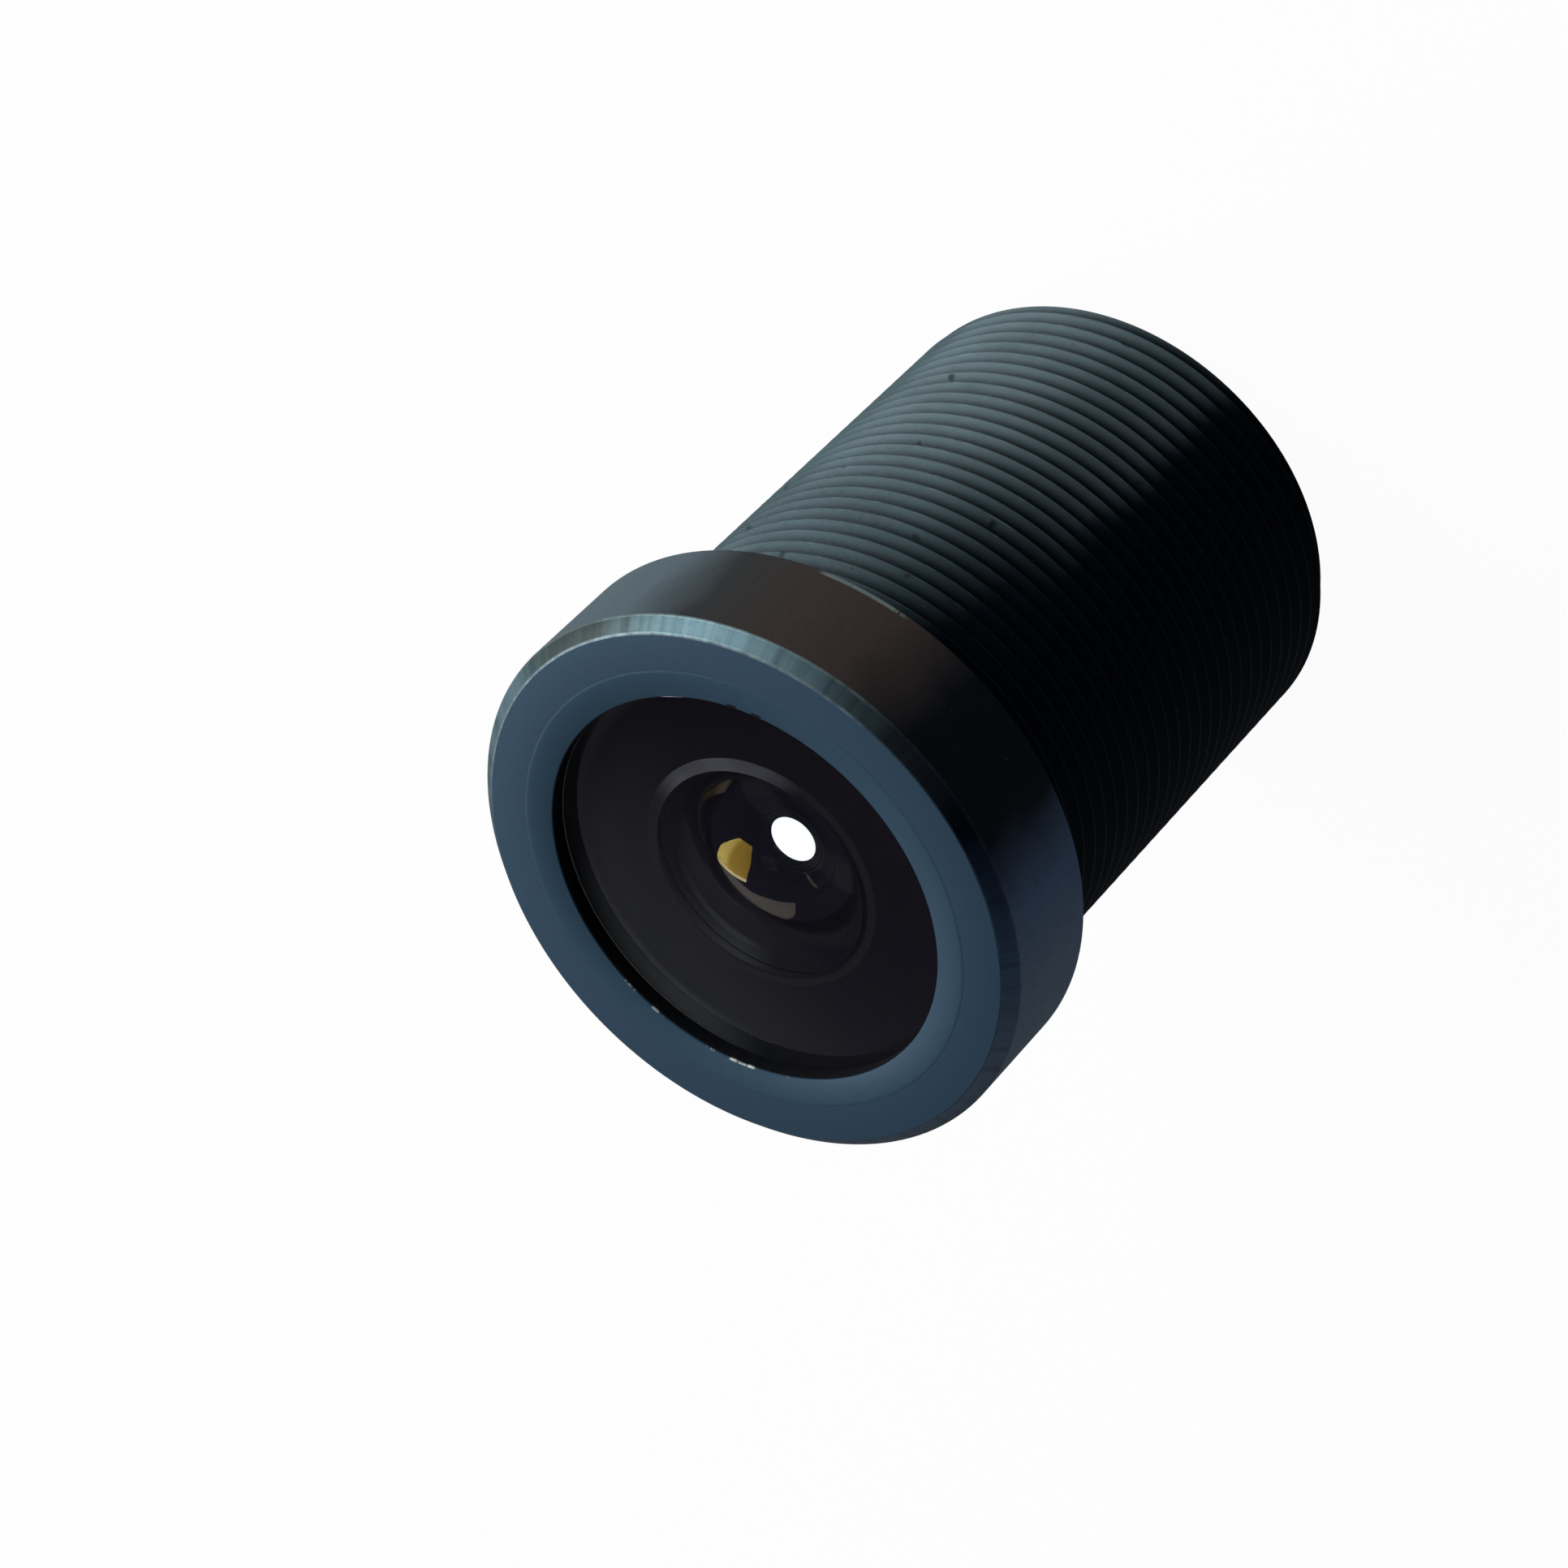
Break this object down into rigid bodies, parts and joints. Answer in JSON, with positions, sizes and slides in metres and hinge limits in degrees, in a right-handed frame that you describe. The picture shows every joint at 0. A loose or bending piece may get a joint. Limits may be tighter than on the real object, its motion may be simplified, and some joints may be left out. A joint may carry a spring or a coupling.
{
  "type": "m12 board camera lens",
  "caption": "Wide-angle board camera lens: smooth chamfered head, fine-threaded shank, domed front glass and a glued infrared filter in its rear end.",
  "frame": {"origin": "centre of the rear end, on the optical axis, where the lens stands", "axes": "+Z along the optical axis, towards the front glass"},
  "size_m": [0.014, 0.014, 0.017],
  "materials": {
    "barrel_anodised": "black anodised, satin",
    "ring_anodised": "black anodised, fine turned face",
    "front_glass": "polished, coated, flats blackened",
    "inner_glass": "polished, coated, rims blackened",
    "spacer_black": "black anodised, matte",
    "mask_foil": "black polyester foil",
    "stop_plate": "blackened thin plate",
    "filter_glass": "polished, infrared-cut coating",
    "glue_black": "black cured adhesive"
  },
  "bodies": {
    "root": {"barrel": "barrel_anodised", "front_ring": "ring_anodised", "front_lens": "front_glass", "front_spacer": "spacer_black", "second_lens": "inner_glass", "second_spacer": "spacer_black", "light_mask_front": "mask_foil", "third_lens": "inner_glass", "stop_spacer": "spacer_black", "aperture_stop": "stop_plate", "doublet_spacer": "spacer_black", "doublet_cell": "spacer_black", "doublet_front": "inner_glass", "doublet_rear": "inner_glass", "light_mask_rear": "mask_foil", "rear_spacer": "spacer_black", "rear_lens": "inner_glass", "filter_seat_ring": "spacer_black", "ir_filter": "filter_glass", "filter_glue": "glue_black"}
  },
  "joints": []
}
